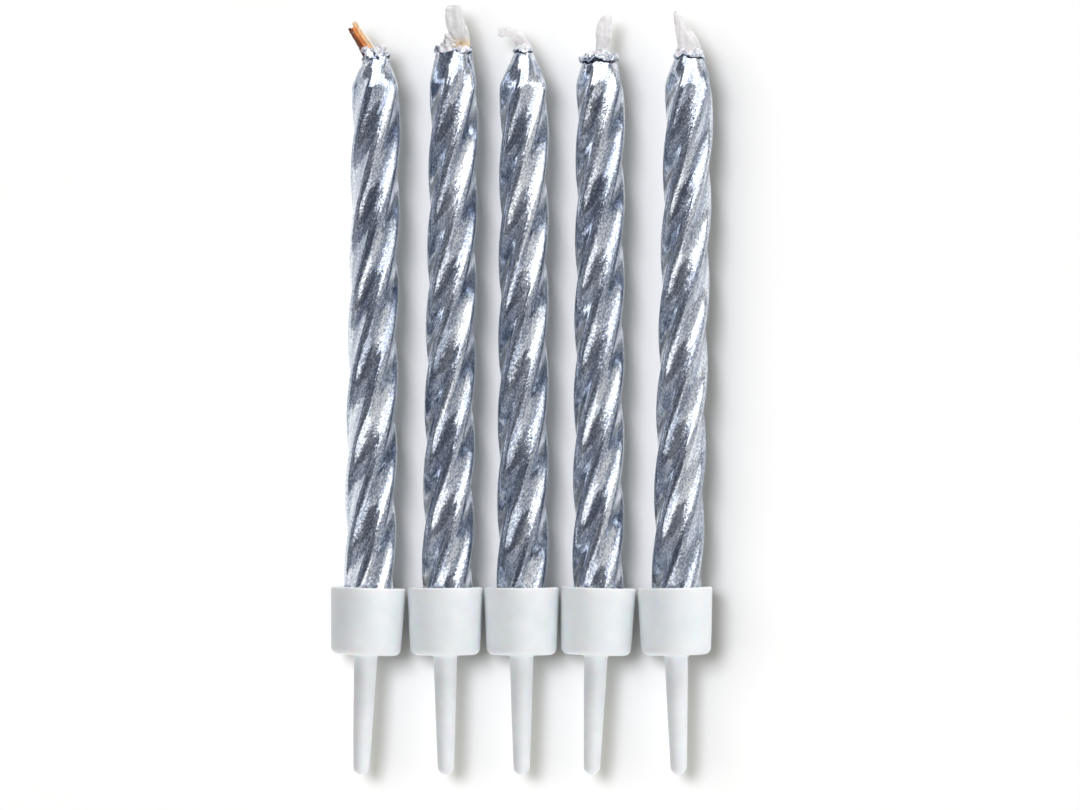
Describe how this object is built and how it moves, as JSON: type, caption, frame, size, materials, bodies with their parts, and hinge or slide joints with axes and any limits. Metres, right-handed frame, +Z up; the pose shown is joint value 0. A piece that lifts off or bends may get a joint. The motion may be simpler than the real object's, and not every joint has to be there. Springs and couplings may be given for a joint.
{
  "type": "spiral birthday candle",
  "caption": "Row of slim twisted birthday candles with flat wicks, each standing in a small tapered cup whose spike pushes into a cake.",
  "frame": {"origin": "middle of the middle cup's underside, where its spike begins", "axes": "+Z up along the middle cup towards the wicks, +X along the row to the right as pictured, -Y towards the viewer"},
  "size_m": [0.0394, 0.0078, 0.0794],
  "materials": {
    "silver_wax": "silver metallic lacquer over paraffin wax",
    "white_wick": "waxed white cotton",
    "gold_wick": "waxed orange-gold cotton",
    "holder": "satin white moulded plastic"
  },
  "bodies": {
    "holder_row": {"holder_1": "holder", "holder_2": "holder", "holder_3": "holder", "holder_4": "holder", "holder_5": "holder"},
    "candle_1": {"wax_body_1": "silver_wax", "wick_1": "gold_wick"},
    "candle_2": {"wax_body_2": "silver_wax", "wick_2": "white_wick"},
    "candle_3": {"wax_body_3": "silver_wax", "wick_3": "white_wick"},
    "candle_4": {"wax_body_4": "silver_wax", "wick_4": "white_wick"},
    "candle_5": {"wax_body_5": "silver_wax", "wick_5": "white_wick"}
  },
  "joints": [
    {"name": "candle_1_lift", "type": "slide", "parent": "holder_row", "child": "candle_1", "axis": [0.014, 0, 0.9999], "range_m": [0, 0.008]},
    {"name": "candle_2_lift", "type": "slide", "parent": "holder_row", "child": "candle_2", "axis": [0.014, 0, 0.9999], "range_m": [0, 0.008]},
    {"name": "candle_3_lift", "type": "slide", "parent": "holder_row", "child": "candle_3", "axis": [0.0035, 0, 1], "range_m": [0, 0.008]},
    {"name": "candle_4_lift", "type": "slide", "parent": "holder_row", "child": "candle_4", "axis": [0.0052, 0, 1], "range_m": [0, 0.008]},
    {"name": "candle_5_lift", "type": "slide", "parent": "holder_row", "child": "candle_5", "axis": [0.0244, 0, 0.9997], "range_m": [0, 0.008]}
  ]
}
